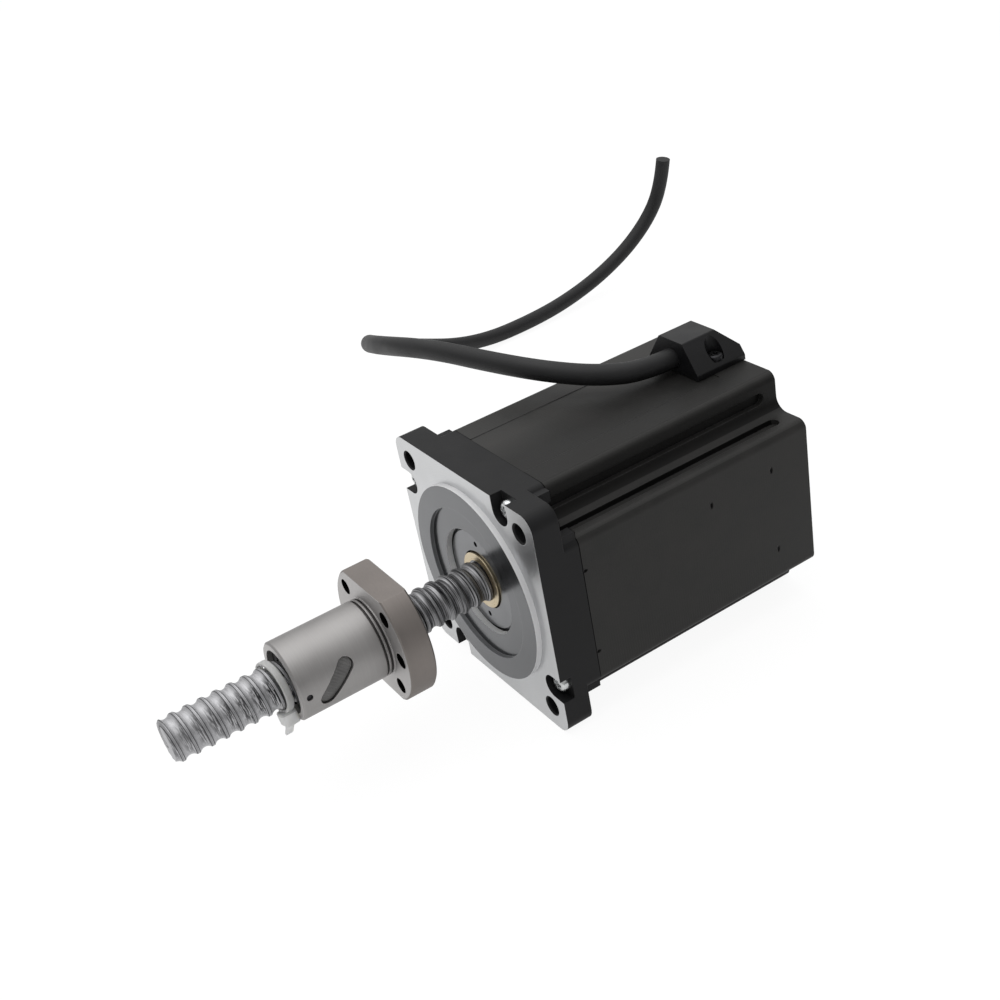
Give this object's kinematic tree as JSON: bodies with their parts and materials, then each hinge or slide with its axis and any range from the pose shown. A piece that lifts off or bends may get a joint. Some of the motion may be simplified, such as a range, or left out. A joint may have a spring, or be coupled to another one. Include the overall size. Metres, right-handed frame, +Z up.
{
  "type": "ball screw linear actuator",
  "caption": "Square-flanged stepper motor whose shaft is a ball screw carrying a flanged nut that travels along it, with a cable from a clamp block at its back.",
  "frame": {"origin": "centre of the motor's square mounting face, on the screw's axis", "axes": "+X along the screw from the motor to the free end, +Z up to the side with the cable clamp, +Y to the side"},
  "size_m": [0.4003, 0.2935, 0.0999],
  "materials": {
    "painted_cap": "satin black paint with machined bright front face",
    "painted_core": "satin black paint over laminated steel",
    "bolt_steel": "zinc plated",
    "winding_wire": "enamelled copper wire",
    "insulator": "moulded",
    "bearing_steel": "ground and polished",
    "retainer_steel": "dark oxide, turned",
    "spring_steel": "rolled",
    "clamp_plastic": "moulded black",
    "lead_insulation": "extruded",
    "cable_jacket": "extruded matte black",
    "screw_steel": "rolled and hardened",
    "sleeve_brass": "turned",
    "rotor_steel": "stamped laminations",
    "magnet": "sintered and plated",
    "nut_steel": "ground",
    "insert_plastic": "moulded",
    "wiper_plastic": "moulded",
    "tie_nylon": "translucent white"
  },
  "bodies": {
    "motor": {"front_end_cap": "painted_cap", "stator_core": "painted_core", "rear_end_cap": "painted_cap", "tie_bolts": "bolt_steel", "stator_coils": "winding_wire", "front_insulator": "insulator", "rear_insulator": "insulator", "front_bearing_outer_race": "bearing_steel", "rear_bearing_outer_race": "bearing_steel", "bearing_retainer": "retainer_steel", "wave_spring": "spring_steel", "gland_block": "clamp_plastic", "gland_screws": "bolt_steel", "lead_wires": "lead_insulation", "motor_cable": "cable_jacket"},
    "screw": {"ball_screw": "screw_steel", "spacer_sleeve": "sleeve_brass", "rotor_spacer": "rotor_steel", "front_rotor_cup": "rotor_steel", "rotor_magnet": "magnet", "rear_rotor_cup": "rotor_steel", "front_bearing_inner_race": "bearing_steel", "rear_bearing_inner_race": "bearing_steel"},
    "nut": {"nut_body": "nut_steel", "return_inserts": "insert_plastic", "nut_balls": "bearing_steel", "front_wiper": "wiper_plastic", "rear_wiper": "wiper_plastic", "wiper_screw": "bolt_steel", "transport_tie": "tie_nylon"},
    "front_ball_set": {"front_bearing_balls": "bearing_steel"},
    "rear_ball_set": {"rear_bearing_balls": "bearing_steel"}
  },
  "joints": [
    {"name": "screw_spin", "type": "hinge", "parent": "motor", "child": "screw", "pos_m": [0, 0, 0], "axis": [1, 0, 0], "range_deg": [-2736, 2016]},
    {"name": "nut_travel", "type": "slide", "parent": "motor", "child": "nut", "axis": [1, 0, 0], "range_m": [-0.028, 0.038]},
    {"name": "front_balls_roll", "type": "hinge", "parent": "motor", "child": "front_ball_set", "pos_m": [0, 0, 0], "axis": [1, 0, 0], "range_deg": [-1042.43, 768.11]},
    {"name": "rear_balls_roll", "type": "hinge", "parent": "motor", "child": "rear_ball_set", "pos_m": [0, 0, 0], "axis": [1, 0, 0], "range_deg": [-998.1, 735.45]}
  ],
  "couplings": [
    {"joint": "nut_travel", "follows": "screw_spin", "m_per_rad": -0.00079577},
    {"joint": "front_balls_roll", "follows": "screw_spin", "ratio": 0.381},
    {"joint": "rear_balls_roll", "follows": "screw_spin", "ratio": 0.3648}
  ]
}
